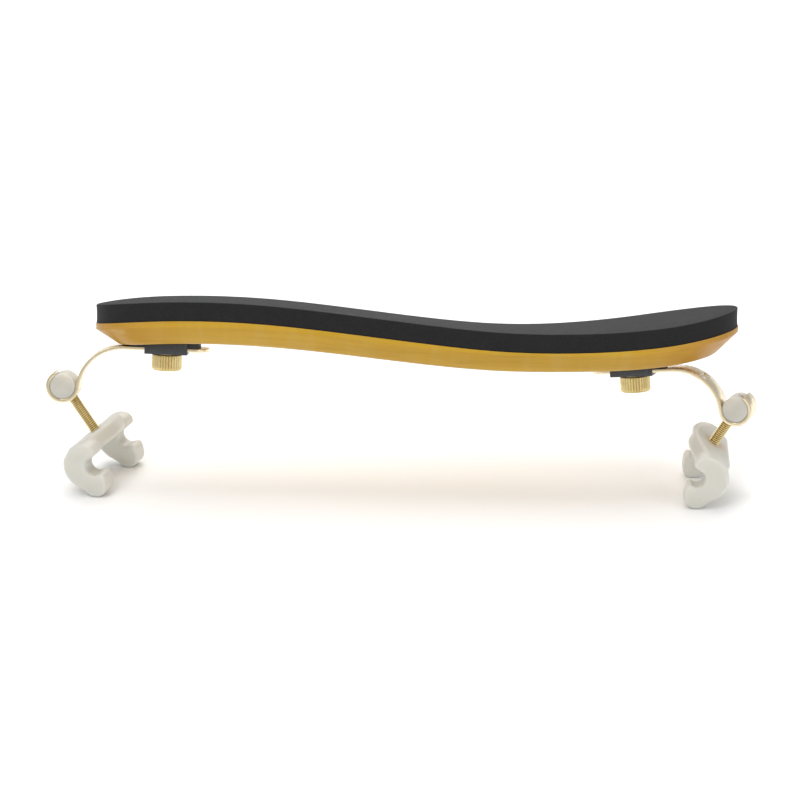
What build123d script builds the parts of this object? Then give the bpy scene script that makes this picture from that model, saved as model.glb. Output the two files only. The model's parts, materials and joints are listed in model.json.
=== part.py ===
from build123d import *
import math
import os

# Violin shoulder rest: an S-curved maple bar with a foam pad, and a clamped brass bracket at each end.
# Each bracket's strap curls round a barrel. A threaded stud passes through the barrel and carries a
# fork foot, whose two claws grip the edge of the violin. All sizes are in millimetres.
# The rest is built level, with +X along the bar and +Z up through the pad. It is then tipped back until
# it stands on its four claws, with the origin under the middle of its outline.

# ---- Bar and pad -------------------------------------------------------------------------------------
BAR_LEFT_X, BAR_RIGHT_X = -115.0, 115.0
LEFT_END_RADIUS = 21.5
RIGHT_END_LENGTH, RIGHT_END_HALF_WIDTH = 32.0, 24.0
BAR_BOTTOM_BEVEL_UP, BAR_BOTTOM_BEVEL_IN = 6.6, 8.6
BAR_BOTTOM_SOFTEN = 5.0

FOAM_THICKNESS = 6.8
FOAM_SETBACK = 0.3
PROFILE_HALF_DEPTH = 26.0
# Along the bar: station X, height of the wood's top at mid depth, twist in degrees, wood thickness.
BAR_STATIONS = [
    (-120.0, 27.4, -2.4, 8.7),
    (-100.0, 29.4, -2.4, 8.7),
    (-80.0, 29.9, -2.4, 8.7),
    (-55.0, 28.8, -2.4, 8.6),
    (-25.0, 25.5, -2.5, 8.3),
    (5.0, 21.7, -2.5, 8.1),
    (30.0, 19.4, -2.0, 7.7),
    (52.0, 19.2, -1.1, 7.6),
    (75.0, 20.7, 0.2, 8.1),
    (97.0, 23.7, 0.8, 8.4),
    (120.0, 28.4, 0.8, 8.4),
]

# ---- Brackets: strap, liner, guide block ---------------------------------------------------------------
STRAP_WIDTH, STRAP_THICKNESS = 11.0, 1.2
STRAP_INNER_REACH = 15.2
STRAP_FLAT_REACH = 15.0
STRAP_BEND_RADIUS = 16.4
SLOT_WIDTH, SLOT_LENGTH = 4.5, 22.0
PIN_HOLE_DIAMETER = 1.4
PIN_HOLE_ANGLE = 52.0
CURL_END_ANGLE = 54.0
BEND_END_ANGLE = 3.94
BARREL_RADIUS, BARREL_CLEARANCE = 4.6, 0.06
BARREL_LENGTH, BARREL_OFFSET, BARREL_EDGE = 12.4, 0.6, 0.4
LINER_WIDTH = 11.0
LINER_GAP = 0.1
BLOCK_LENGTH, BLOCK_WIDTH = 15.4, 13.6
BLOCK_FLOOR, BLOCK_CORNER_RADIUS = 0.9, 1.0
BLOCK_SCREW_HOLE = 2.15
CHANNEL_SIDE_GAP, CHANNEL_FLOOR_GAP = 0.2, 0.1
BLOCK_TOP_CLEARANCE = 0.35
LINER_TOP_CLEARANCE = 0.3

# ---- Clamp screw, knob, washer, insert -----------------------------------------------------------------
SCREW_RADIUS = 2.0
SCREW_CLEARANCE = 0.06
SCREW_REACH_UP = 7.4
INSERT_RADIUS, INSERT_LENGTH = 3.2, 5.6
INSERT_RECESS = 0.5
WASHER_RADIUS, WASHER_THICKNESS = 4.4, 0.5
WASHER_GAP = 0.05
KNOB_RADIUS, KNOB_HEIGHT, KNOB_RIM_ROUND = 5.4, 5.7, 1.1
KNOB_FLUTES, KNOB_FLUTE_DEPTH = 32, 0.35
KNOB_SCREW_DEPTH = 4.0

# ---- Stud and foot --------------------------------------------------------------------------------------
STUD_RADIUS = 1.95
STUD_CLEARANCE = 0.06
STUD_LENGTH_ABOVE_FOOT = 19.2
STUD_DEPTH_IN_FOOT = 4.6
STUD_TILT_SWING = 14.0
STUD_SECTOR_MARGIN = 26.5
STUD_END_CHAMFER = 0.4
CLAW_SPACING, CLAW_WIDTH = 33.0, 8.4
CLAW_ROUNDS = (1.7, 1.4, 1.1, 0.8)
GROOVE_CENTRE, GROOVE_RADIUS = (-1.5, -9.6), 3.1
# Side view of a claw, X outward and Z up the stud, from the upper jaw round the back to the lower jaw.
CLAW_OUTLINE = [
    (-4.2, -6.45),
    (-5.3, -4.6),
    (-4.6, -2.2),
    (-2.0, -0.3),
    (2.8, 0.0),
    (6.9, -1.9),
    (9.0, -5.2),
    (9.4, -9.0),
    (8.3, -12.4),
    (6.6, -15.5),
    (5.5, -18.3),
    (2.9, -19.7),
    (-0.3, -19.1),
    (-2.0, -16.5),
    (-2.6, -13.6),
    (-1.9, -12.75),
]
HEAD_DEPTH, HEAD_TOP, HEAD_OUTER_X = 6.0, 0.0, 7.2
HEAD_INNER_EDGE = [(-4.0, -15.0), (-6.1, -9.0), (-7.6, 0.0), (-6.1, 9.0), (-4.0, 15.0)]
HEAD_ROUNDS = (1.6, 1.3, 1.0)

# ---- How the rest is set: one row for each end ----------------------------------------------------------
# clamp_x, clamp_z: the clamp screw's axis at the strap's top. rise: the strap's upward tilt towards its
# outer end. swivel: turn about the clamp screw. lean: the stud's angle to the strap's normal.
# reach: barrel axis to the top of the foot. turn: the foot's turn about its stud.
SIDES = {
    "left": dict(clamp_x=-89.6, clamp_z=19.45, rise=2.6, heading=180.0, swivel=0.0,
                 lean=36.0, reach=19.6, turn=-17.018, liner=(-11.7, 13.2), gap=1.9),
    "right": dict(clamp_x=78.1, clamp_z=11.6, rise=4.4, heading=0.0, swivel=-18.0,
                  lean=38.0, reach=15.2, turn=15.0, liner=(-15.6, 11.0), gap=1.2),
}

# ---- Standing pose: tips the level rest onto its claws ------------------------------------------------
STAND_PITCH, STAND_ROLL = -9.697, -0.538
STAND_SHIFT = (5.7511, 1.5615, 29.9415)


def stand():
    """Placement that carries the level rest onto its four claws."""
    return Location(STAND_SHIFT) * Location((0, 0, 0), (STAND_PITCH, STAND_ROLL, 0))


def bar_face(depth, top_offset, bottom_offset):
    """Side profile of a layer of the bar at one depth, between two offsets from the wood's top.

    An offset of None stands for the wood's own underside.
    """
    top, bottom = [], []
    for x, height, twist, thickness in BAR_STATIONS:
        z = height + depth * math.tan(math.radians(twist))
        top.append((x, depth, z + top_offset))
        bottom.append((x, depth, z - thickness if bottom_offset is None else z + bottom_offset))
    outline = [
        Spline(*top),
        Line(top[-1], bottom[-1]),
        Spline(*reversed(bottom)),
        Line(bottom[0], top[0]),
    ]
    return make_face(Wire(outline))


def bar_layer(top_offset, bottom_offset):
    """A layer of the bar, twisted along its length, before it is cut to the plan outline."""
    front = bar_face(-PROFILE_HALF_DEPTH, top_offset, bottom_offset)
    rear = bar_face(PROFILE_HALF_DEPTH, top_offset, bottom_offset)
    return loft([front, rear], ruled=True)


def plan_face(setback):
    """Plan outline: round left end, gently widening sides, half-elliptical right end."""
    left_r = LEFT_END_RADIUS - setback
    right_w = RIGHT_END_HALF_WIDTH - setback
    right_l = RIGHT_END_LENGTH - setback
    x0 = BAR_LEFT_X + LEFT_END_RADIUS
    x1 = BAR_RIGHT_X - RIGHT_END_LENGTH
    left_arc = ThreePointArc((x0, left_r), (x0 - left_r, 0), (x0, -left_r))
    front = Spline((x0, -left_r), (x1, -right_w), tangents=[(1, 0), (1, 0)])
    lower = EllipticalCenterArc((x1, 0), right_l, right_w, start_angle=270, arc_size=90)
    upper = EllipticalCenterArc((x1, 0), right_l, right_w, start_angle=0, arc_size=90)
    rear = Spline((x1, right_w), (x0, left_r), tangents=[(-1, 0), (-1, 0)])
    return make_face(Wire([left_arc, front, lower, upper, rear]))


def underside_face(bar):
    """The bar's lower face."""
    return bar.faces().sort_by(lambda f: f.center().Z)[0]


def wood_blank():
    """The maple bar with its bevelled and softened underside."""
    bar = bar_layer(0.0, None) & extrude(plan_face(0.0), 60)
    under = underside_face(bar)
    bar = chamfer(under.edges(), BAR_BOTTOM_BEVEL_IN, BAR_BOTTOM_BEVEL_UP, reference=under)
    return fillet(underside_face(bar).edges(), BAR_BOTTOM_SOFTEN)


def foam_pad():
    """The foam pad on top of the bar, as one plain solid."""
    return bar_layer(FOAM_THICKNESS, 0.0) & extrude(plan_face(FOAM_SETBACK), 60)


# ---- Bracket-local frame: origin on the clamp screw's axis at the strap's top, +X outward, +Z up ---------


def bracket_place(side):
    """Placement of one bracket's own frame on the level rest."""
    rise = side["rise"] if side["heading"] == 180.0 else -side["rise"]
    base = Pos(side["clamp_x"], 0, side["clamp_z"]) * Rot(0, rise, 0)
    return base * Rot(0, 0, side["heading"] + side["swivel"])


def polar(centre, radius, angle):
    """A point at a radius and an angle in degrees from a centre."""
    a = math.radians(angle)
    return (centre[0] + radius * math.cos(a), centre[1] + radius * math.sin(a))


def arc(centre, radius, start, end):
    """A circular arc about a centre from one angle to another."""
    middle = (start + end) / 2
    return ThreePointArc(
        polar(centre, radius, start), polar(centre, radius, middle), polar(centre, radius, end)
    )


def bend_centre():
    """Centre of the strap's downward bend, in its side view."""
    return (STRAP_FLAT_REACH, -STRAP_BEND_RADIUS - STRAP_THICKNESS / 2)


def barrel_centre():
    """Barrel axis in the strap's side view: the curl is tangent to the bend."""
    curl = BARREL_RADIUS + BARREL_CLEARANCE + STRAP_THICKNESS / 2
    return polar(bend_centre(), STRAP_BEND_RADIUS + curl, BEND_END_ANGLE)


def side_extrusion(outline, width):
    """A solid of one width, centred across the strap, from a side-view outline."""
    return extrude(Plane.XZ * make_face(Wire(outline)), width / 2, both=True)


def strap_profile():
    """Side view of the strap: flat run, downward bend, then the curl round the barrel."""
    bend, barrel = bend_centre(), barrel_centre()
    outer = STRAP_BEND_RADIUS + STRAP_THICKNESS / 2
    inner = STRAP_BEND_RADIUS - STRAP_THICKNESS / 2
    curl_in = BARREL_RADIUS + BARREL_CLEARANCE
    curl_out = curl_in + STRAP_THICKNESS
    start, end = 180.0 + BEND_END_ANGLE, 360.0 + CURL_END_ANGLE
    return [
        Line((-STRAP_INNER_REACH, 0), (STRAP_FLAT_REACH, 0)),
        arc(bend, outer, 90.0, BEND_END_ANGLE),
        arc(barrel, curl_in, start, end),
        Line(polar(barrel, curl_in, end), polar(barrel, curl_out, end)),
        arc(barrel, curl_out, end, start),
        arc(bend, inner, BEND_END_ANGLE, 90.0),
        Line((STRAP_FLAT_REACH, -STRAP_THICKNESS), (-STRAP_INNER_REACH, -STRAP_THICKNESS)),
        Line((-STRAP_INNER_REACH, -STRAP_THICKNESS), (-STRAP_INNER_REACH, 0)),
    ]


def swing_sector(lean):
    """Wedge swept by the stud through the lower side of the curl."""
    barrel = barrel_centre()
    half = STUD_TILT_SWING + STUD_SECTOR_MARGIN
    centre = 270.0 - lean
    far = 3 * BARREL_RADIUS
    corners = [barrel]
    corners += [polar(barrel, far, centre + k * half) for k in (-1.0, 0.0, 1.0)]
    wedge = make_face(Polyline(*corners, close=True))
    return extrude(Plane.XZ * wedge, SLOT_WIDTH / 2, both=True)


def strap(side):
    """Brass strap with its rounded inner end, long slot, pin hole and stud slot."""
    band = side_extrusion(strap_profile(), STRAP_WIDTH)
    nose = Pos(STRAP_WIDTH / 2 - STRAP_INNER_REACH, 0, 0) * Cylinder(STRAP_WIDTH / 2, 6)
    tail = Pos(STRAP_WIDTH / 2 - STRAP_INNER_REACH + 50, 0, 0) * Box(100, STRAP_WIDTH + 2, 100)
    band = band & (nose + tail)
    slot = extrude(SlotOverall(SLOT_LENGTH, SLOT_WIDTH), 2, both=True)
    pin_at = polar(bend_centre(), STRAP_BEND_RADIUS, PIN_HOLE_ANGLE)
    pin = Pos(pin_at[0], 0, pin_at[1]) * Rot(0, 90 - PIN_HOLE_ANGLE, 0) * Cylinder(PIN_HOLE_DIAMETER / 2, 6)
    return band - slot - pin - swing_sector(side["lean"])


def guide_block(level_wood):
    """Channelled block under the strap, its flanges rising to just under the wood."""
    bottom = -STRAP_THICKNESS - CHANNEL_FLOOR_GAP - BLOCK_FLOOR
    plan = RectangleRounded(BLOCK_LENGTH, BLOCK_WIDTH, BLOCK_CORNER_RADIUS)
    block = Pos(0, 0, bottom) * extrude(plan, 7)
    channel = STRAP_WIDTH + 2 * CHANNEL_SIDE_GAP
    block -= Pos(0, 0, bottom + BLOCK_FLOOR + 5) * Box(40, channel, 10)
    block -= Cylinder(BLOCK_SCREW_HOLE, 20)
    return keep_lowest(block - Pos(0, 0, -BLOCK_TOP_CLEARANCE) * level_wood)


def liner(side, level_wood):
    """Wedge-shaped pad filling the space between the strap and the wood."""
    u0, u1 = side["liner"]
    pad = Pos((u0 + u1) / 2, 0, LINER_GAP + 2.5) * Box(u1 - u0, LINER_WIDTH, 5)
    pad -= Cylinder(BLOCK_SCREW_HOLE, 20)
    return keep_lowest(pad - Pos(0, 0, -LINER_TOP_CLEARANCE) * level_wood)


def keep_lowest(shape):
    """The material below the wood, without anything left above it."""
    solids = shape.solids().sort_by(Axis.Z)
    low = min(s.bounding_box().min.Z for s in solids)
    kept = [s for s in solids if s.bounding_box().min.Z < low + 0.5]
    return kept[0] if len(kept) == 1 else Compound(children=kept)


def washer_top():
    """Height of the washer's upper face."""
    return -STRAP_THICKNESS - CHANNEL_FLOOR_GAP - BLOCK_FLOOR - WASHER_GAP


def washer():
    """Flat brass washer between the thumb knob and the guide block."""
    disc = Cylinder(WASHER_RADIUS, WASHER_THICKNESS) - Cylinder(BLOCK_SCREW_HOLE, 2)
    return Pos(0, 0, washer_top() - WASHER_THICKNESS / 2) * disc


def knob_top():
    """Height of the thumb knob's upper face."""
    return washer_top() - WASHER_THICKNESS - WASHER_GAP


def thumb_knob():
    """Brass thumb knob with a rounded rim and straight flutes, bored for its screw."""
    body = Cylinder(KNOB_RADIUS, KNOB_HEIGHT)
    body = fillet(body.edges().filter_by(GeomType.CIRCLE).sort_by(Axis.Z)[0], KNOB_RIM_ROUND)
    for k in range(KNOB_FLUTES):
        x, y = polar((0, 0), KNOB_RADIUS, k * 360.0 / KNOB_FLUTES)
        body -= Pos(x, y, 0) * Cylinder(KNOB_FLUTE_DEPTH, 2 * KNOB_HEIGHT)
    body = Pos(0, 0, knob_top() - KNOB_HEIGHT / 2) * body
    return body - Pos(0, 0, knob_top() - KNOB_SCREW_DEPTH / 2) * Cylinder(SCREW_RADIUS, KNOB_SCREW_DEPTH)


def clamp_screw():
    """Clamp screw, from inside the knob up into the threaded insert."""
    low = knob_top() - KNOB_SCREW_DEPTH
    length = SCREW_REACH_UP - low
    return Pos(0, 0, low + length / 2) * Cylinder(SCREW_RADIUS, length)


def insert_plug(side, radius, length):
    """A cylinder rising into the wood from just above its underside."""
    return Pos(0, 0, side["gap"] + INSERT_RECESS + length / 2) * Cylinder(radius, length)


def threaded_insert(side):
    """Brass threaded insert set into the wood."""
    plug = insert_plug(side, INSERT_RADIUS, INSERT_LENGTH)
    return plug - Cylinder(SCREW_RADIUS + SCREW_CLEARANCE, 60)


def wood_pocket(side):
    """Everything cut from the wood for one insert and its screw."""
    depth = SCREW_REACH_UP + 0.6
    entry = Pos(0, 0, depth / 2) * Cylinder(SCREW_RADIUS + 0.4, depth)
    return insert_plug(side, INSERT_RADIUS, INSERT_LENGTH) + entry


def barrel(side):
    """Translucent barrel held in the curl, bored across for the stud."""
    x, z = barrel_centre()
    rearward = -1 if side["heading"] == 180.0 else 1
    body = Pos(0, rearward * BARREL_OFFSET, 0) * Rot(90, 0, 0) * Cylinder(BARREL_RADIUS, BARREL_LENGTH)
    body = chamfer(body.edges().filter_by(GeomType.CIRCLE), BARREL_EDGE)
    body -= Rot(0, side["lean"], 0) * Cylinder(STUD_RADIUS + STUD_CLEARANCE, 4 * BARREL_RADIUS)
    return Pos(x, 0, z) * body


def foot_place(side):
    """Placement of the foot's own frame: origin where the stud enters its top, +Z up the stud."""
    x, z = barrel_centre()
    along = Pos(x, 0, z) * Rot(0, side["lean"], 0) * Pos(0, 0, -side["reach"])
    return along * Rot(0, 0, side["turn"])


def stud(side):
    """Height stud between the barrel and the foot."""
    length = STUD_LENGTH_ABOVE_FOOT + STUD_DEPTH_IN_FOOT
    shaft = Pos(0, 0, length / 2 - STUD_DEPTH_IN_FOOT) * Cylinder(STUD_RADIUS, length)
    return foot_place(side) * chamfer(shaft.edges().filter_by(GeomType.CIRCLE), STUD_END_CHAMFER)


def claw():
    """One C-shaped claw: thick rounded outline with the groove for the instrument's edge."""
    outer = Spline(*CLAW_OUTLINE)
    mouth_low, mouth_high = CLAW_OUTLINE[-1], CLAW_OUTLINE[0]
    groove_low = (GROOVE_CENTRE[0], GROOVE_CENTRE[1] - GROOVE_RADIUS)
    groove_high = (GROOVE_CENTRE[0], GROOVE_CENTRE[1] + GROOVE_RADIUS)
    outline = [
        outer,
        Line(mouth_low, groove_low),
        arc(GROOVE_CENTRE, GROOVE_RADIUS, -90.0, 90.0),
        Line(groove_high, mouth_high),
    ]
    return side_extrusion(outline, CLAW_WIDTH)


def head():
    """Cross plate joining the claws, its inner edge bulging between them."""
    inner = Spline(*HEAD_INNER_EDGE)
    first, last = HEAD_INNER_EDGE[0], HEAD_INNER_EDGE[-1]
    outline = [
        inner,
        Line(last, (HEAD_OUTER_X, last[1])),
        Line((HEAD_OUTER_X, last[1]), (HEAD_OUTER_X, first[1])),
        Line((HEAD_OUTER_X, first[1]), first),
    ]
    return Pos(0, 0, HEAD_TOP - HEAD_DEPTH) * extrude(make_face(Wire(outline)), HEAD_DEPTH)


def rounded(shape, radii, edges=None):
    """The shape with its edges rounded by the first radius that gives a sound solid."""
    for radius in radii:
        try:
            done = fillet(edges(shape) if edges else shape.edges(), radius)
        except Exception:
            continue
        if done.is_valid and done.volume > 0:
            return done
    return shape


def foot():
    """Fork foot: two claws on a cross plate, with a blind hole for the stud."""
    one = rounded(claw(), CLAW_ROUNDS)
    plate = rounded(head(), HEAD_ROUNDS)
    body = plate
    for sign in (-1, 1):
        body += Pos(0, sign * CLAW_SPACING / 2, 0) * one
    depth = STUD_DEPTH_IN_FOOT + 0.15
    return body - Pos(0, 0, 5 - depth) * Cylinder(STUD_RADIUS + STUD_CLEARANCE, 10)


def bracket(name, side, wood):
    """Every piece of one bracket on the level rest, keyed by node name."""
    place = bracket_place(side)
    local_wood = place.inverse() * wood
    pieces = {
        "threaded_insert": threaded_insert(side),
        "liner": liner(side, local_wood),
        "guide_block": guide_block(local_wood),
        "strap": strap(side),
        "washer": washer(),
        "thumb_knob": thumb_knob(),
        "clamp_screw": clamp_screw(),
        "barrel": barrel(side),
        "stud": stud(side),
        "foot": foot_place(side) * foot(),
    }
    return {f"{key}_{name}": place * piece for key, piece in pieces.items()}


def level_pieces():
    """Every piece of the rest in the level frame, keyed by node name."""
    wood = wood_blank()
    pieces = {"foam_pad": foam_pad()}
    bored = wood
    for name, side in SIDES.items():
        pieces.update(bracket(name, side, wood))
        bored = bored - bracket_place(side) * wood_pocket(side)
    pieces["wood_body"] = bored
    return pieces


def main():
    """Build every piece, stand the rest on its claws and write one file for each piece."""
    os.makedirs("parts", exist_ok=True)
    placement = stand()
    for name, piece in sorted(level_pieces().items()):
        export_step(placement * piece, f"parts/{name}.step")


if __name__ == "__main__":
    main()
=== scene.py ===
import json
import logging
import math
from dataclasses import dataclass, field
from enum import Enum

import bmesh
import bpy
import numpy as np
from mathutils import Matrix, Vector


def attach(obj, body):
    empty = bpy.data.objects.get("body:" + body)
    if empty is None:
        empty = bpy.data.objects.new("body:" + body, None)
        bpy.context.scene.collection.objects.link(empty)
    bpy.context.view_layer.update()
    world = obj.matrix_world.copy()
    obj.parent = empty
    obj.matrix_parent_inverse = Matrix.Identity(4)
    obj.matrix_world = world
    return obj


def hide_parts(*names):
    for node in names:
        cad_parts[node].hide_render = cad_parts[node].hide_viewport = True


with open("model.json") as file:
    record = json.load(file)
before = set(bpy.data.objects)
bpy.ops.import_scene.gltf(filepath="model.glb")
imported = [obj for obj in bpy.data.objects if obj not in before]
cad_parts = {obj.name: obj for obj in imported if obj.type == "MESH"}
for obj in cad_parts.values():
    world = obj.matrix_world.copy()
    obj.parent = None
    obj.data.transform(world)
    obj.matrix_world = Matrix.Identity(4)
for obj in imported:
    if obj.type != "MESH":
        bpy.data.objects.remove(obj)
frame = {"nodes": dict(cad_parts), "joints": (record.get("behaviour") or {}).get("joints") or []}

logging.basicConfig(level=logging.INFO, format="%(levelname)s %(message)s")
LOG = logging.getLogger("shoulder_rest")

MM = 0.001
TAU = 2.0 * math.pi


class End(Enum):
    """The two ends of the rest, which name the nodes, bodies and joints of their brackets."""

    LEFT = "left"
    RIGHT = "right"

    def name_of(self, stem: str) -> str:
        """The node, body or joint with this stem at this end.

        Args:
            stem: the name without its end, such as "strap".

        Returns:
            The full name, such as "strap_left".
        """
        return f"{stem}_{self.value}"


class Slot(Enum):
    """The record's material slots."""

    MAPLE = "maple"
    FOAM = "foam"
    LINER = "liner"
    GUIDE_BLOCK = "guide_block"
    INSERT = "insert_brass"
    STRAP = "strap_brass"
    KNOB = "knob_brass"
    STUD = "stud_brass"
    BARREL = "clear_plastic"
    FOOT = "foot_plastic"


# ---- Places ----------------------------------------------------------------------------------------------


@dataclass(frozen=True)
class Stance:
    """How the level rest is tipped back onto its claws: the solids' own stance.

    Attributes:
        pitch_deg: turn about the bar's length.
        roll_deg: turn about the depth axis.
        shift: the level origin's place in the row frame, in metres.
    """

    pitch_deg: float = -9.697
    roll_deg: float = -0.538
    shift: tuple[float, float, float] = (0.0057511, 0.0015615, 0.0299415)

    def rotation(self) -> Matrix:
        """The turn from the level frame to the row frame.

        Returns:
            A 3 by 3 rotation.
        """
        pitch = Matrix.Rotation(math.radians(self.pitch_deg), 3, "X")
        roll = Matrix.Rotation(math.radians(self.roll_deg), 3, "Y")
        return pitch @ roll

    def carry(self, points: np.ndarray) -> np.ndarray:
        """Points of the level frame in the row frame: shift + R p.

        Args:
            points: (n, 3) points in metres.

        Returns:
            (n, 3) points in metres.
        """
        return points @ np.array(self.rotation()).T + np.array(self.shift)


STANCE = Stance()


@dataclass(frozen=True)
class Axis:
    """A line through a joint: its origin and unit direction, in the row frame."""

    origin: np.ndarray
    along: np.ndarray

    def basis(self) -> np.ndarray:
        """Three unit vectors, the last of them along the axis.

        Returns:
            (3, 3) array whose rows are two cross directions and the axis.
        """
        hint = np.array([0.0, 1.0, 0.0])
        first = np.cross(hint, self.along)
        first /= np.linalg.norm(first)
        return np.stack([first, np.cross(self.along, first), self.along])

    def carry(self, points: np.ndarray) -> np.ndarray:
        """Points given about +Z from the origin, laid along this axis.

        Args:
            points: (n, 3) points in metres.

        Returns:
            (n, 3) points in the row frame.
        """
        return points @ self.basis() + self.origin


def joint_axis(name: str) -> Axis:
    """The axis of a hinge in the record.

    Args:
        name: the joint's name.

    Returns:
        Its axis in the row frame.
    """
    found = next(j for j in frame["joints"] if j["name"] == name)
    along = np.array(found["axis"], float)
    return Axis(np.array(found["pos_m"], float), along / np.linalg.norm(along))


# ---- Surfaces --------------------------------------------------------------------------------------------


@dataclass(frozen=True)
class Skin:
    """A closed surface: points in metres and faces as lists of point numbers."""

    points: np.ndarray
    faces: list[list[int]]

    def build(self, name: str, crease_deg: float = 35.0) -> bpy.types.Object:
        """Make the mesh object, welded, facing outwards and smooth but for its creases.

        Args:
            name: the object's name.
            crease_deg: edges sharper than this stay sharp.

        Returns:
            The new object, at the origin.
        """
        mesh = bpy.data.meshes.new(name)
        mesh.from_pydata(self.points.tolist(), [], self.faces)
        work = bmesh.new()
        work.from_mesh(mesh)
        bmesh.ops.remove_doubles(work, verts=work.verts, dist=2e-7)
        bmesh.ops.dissolve_degenerate(work, edges=work.edges, dist=1e-7)
        bmesh.ops.recalc_face_normals(work, faces=work.faces)
        work.to_mesh(mesh)
        work.free()
        smooth(mesh, crease_deg)
        piece = bpy.data.objects.new(name, mesh)
        bpy.context.scene.collection.objects.link(piece)
        LOG.info("%s: %d faces", name, len(mesh.polygons))
        return piece


def smooth(mesh: bpy.types.Mesh, crease_deg: float) -> None:
    """Shade a mesh smooth except across its creases.

    Args:
        mesh: the mesh to shade.
        crease_deg: edges sharper than this stay sharp.
    """
    mesh.polygons.foreach_set("use_smooth", np.ones(len(mesh.polygons), bool))
    mesh.set_sharp_from_angle(angle=math.radians(crease_deg))
    mesh.update()


def ring_faces(rows: int, columns: int, first: int = 0) -> list[list[int]]:
    """Quads joining each closed ring of points to the next.

    Args:
        rows: number of rings.
        columns: points in each ring.
        first: number of the first point.

    Returns:
        Faces as lists of point numbers.
    """
    row = np.arange(rows - 1)[:, None] * columns
    here = np.arange(columns)[None, :]
    there = (here + 1) % columns
    quads = np.stack(
        [row + here, row + there, row + columns + there, row + columns + here], axis=-1
    )
    return (quads.reshape(-1, 4) + first).tolist()


def lathe(radii: np.ndarray, heights: np.ndarray, axis: Axis) -> Skin:
    """A closed surface of rings about an axis, each point at its own radius.

    Point (i, k) is at radius r[i, k], angle 2 pi k / n and height h[i]. A point on the axis closes
    each end.

    Args:
        radii: (m, n) radii in metres.
        heights: (m,) heights in metres.
        axis: where the surface stands.

    Returns:
        The closed surface.
    """
    rows, columns = radii.shape
    angle = np.arange(columns) / columns * TAU
    grid = np.stack(
        [
            radii * np.cos(angle),
            radii * np.sin(angle),
            np.broadcast_to(heights[:, None], radii.shape),
        ],
        axis=-1,
    ).reshape(-1, 3)
    poles = np.array([[0.0, 0.0, heights[0]], [0.0, 0.0, heights[-1]]])
    low, high = rows * columns, rows * columns + 1
    here = np.arange(columns)
    there = (here + 1) % columns
    last = (rows - 1) * columns
    fans = np.stack([np.full(columns, low), there, here], axis=1).tolist()
    fans += np.stack([np.full(columns, high), last + here, last + there], axis=1).tolist()
    points = axis.carry(np.vstack([grid, poles]))
    return Skin(points, ring_faces(rows, columns) + fans)


# ---- Shader graphs ---------------------------------------------------------------------------------------


class Graph:
    """A small helper that adds nodes to a node tree and joins them."""

    def __init__(self, tree: bpy.types.NodeTree) -> None:
        """Keep the tree.

        Args:
            tree: a material's or a group's node tree.
        """
        self.tree = tree

    def add(self, kind: str, inputs: dict | None = None, **settings: object) -> bpy.types.Node:
        """Add a node, set its properties, and set or join its inputs.

        Args:
            kind: the node's type without its "ShaderNode" prefix.
            inputs: socket name or number to a value or to another node's output socket.
            **settings: the node's own properties.

        Returns:
            The new node.
        """
        node = self.tree.nodes.new(f"ShaderNode{kind}")
        for key, value in settings.items():
            setattr(node, key, value)
        for key, value in (inputs or {}).items():
            if isinstance(value, bpy.types.NodeSocket):
                self.tree.links.new(value, node.inputs[key])
            else:
                node.inputs[key].default_value = value
        return node

    def maths(self, operation: str, *values: object) -> bpy.types.NodeSocket:
        """Add a Math node.

        Args:
            operation: the operation's name.
            *values: numbers or sockets.

        Returns:
            Its output.
        """
        return self.add("Math", dict(enumerate(values)), operation=operation).outputs[0]

    def scaled(self, vector: bpy.types.NodeSocket, scale: tuple, turn=(0, 0, 0)) -> bpy.types.NodeSocket:
        """A vector turned and then scaled.

        Args:
            vector: the vector's socket.
            scale: the scale on each axis.
            turn: the turn in radians.

        Returns:
            The mapped vector's socket.
        """
        inputs = {"Vector": vector, "Scale": scale, "Rotation": turn}
        return self.add("Mapping", inputs).outputs[0]

    def ramp(self, value: bpy.types.NodeSocket, low: float, high: float, to_low=0.0, to_high=1.0):
        """Map a value from one range to another, clamped.

        Args:
            value: the value's socket.
            low: value that gives to_low.
            high: value that gives to_high.
            to_low: result at low.
            to_high: result at high.

        Returns:
            The mapped value's socket.
        """
        inputs = {"Value": value, "From Min": low, "From Max": high, "To Min": to_low, "To Max": to_high}
        return self.add("MapRange", inputs, interpolation_type="SMOOTHSTEP").outputs[0]

    def mix(self, factor: object, first: object, second: object, blend="MIX") -> bpy.types.NodeSocket:
        """Mix two colours.

        Args:
            factor: number or socket.
            first: colour or socket at 0.
            second: colour or socket at 1.
            blend: the blend's name.

        Returns:
            The mixed colour's socket.
        """
        inputs = {0: factor, 6: first, 7: second}
        node = self.add("Mix", inputs, data_type="RGBA", blend_type=blend)
        return node.outputs[2]


def new_group(name: str, inputs: dict, outputs: dict) -> tuple[Graph, bpy.types.Node, bpy.types.Node]:
    """An empty shader group with its sockets.

    Args:
        name: the group's name.
        inputs: socket name to (socket type, default value or None).
        outputs: socket name to socket type.

    Returns:
        Its graph, its input node and its output node.
    """
    tree = bpy.data.node_groups.new(name, "ShaderNodeTree")
    for key, (kind, default) in inputs.items():
        socket = tree.interface.new_socket(name=key, in_out="INPUT", socket_type=kind)
        if default is not None:
            socket.default_value = default
    for key, kind in outputs.items():
        tree.interface.new_socket(name=key, in_out="OUTPUT", socket_type=kind)
    return Graph(tree), tree.nodes.new("NodeGroupInput"), tree.nodes.new("NodeGroupOutput")


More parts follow.
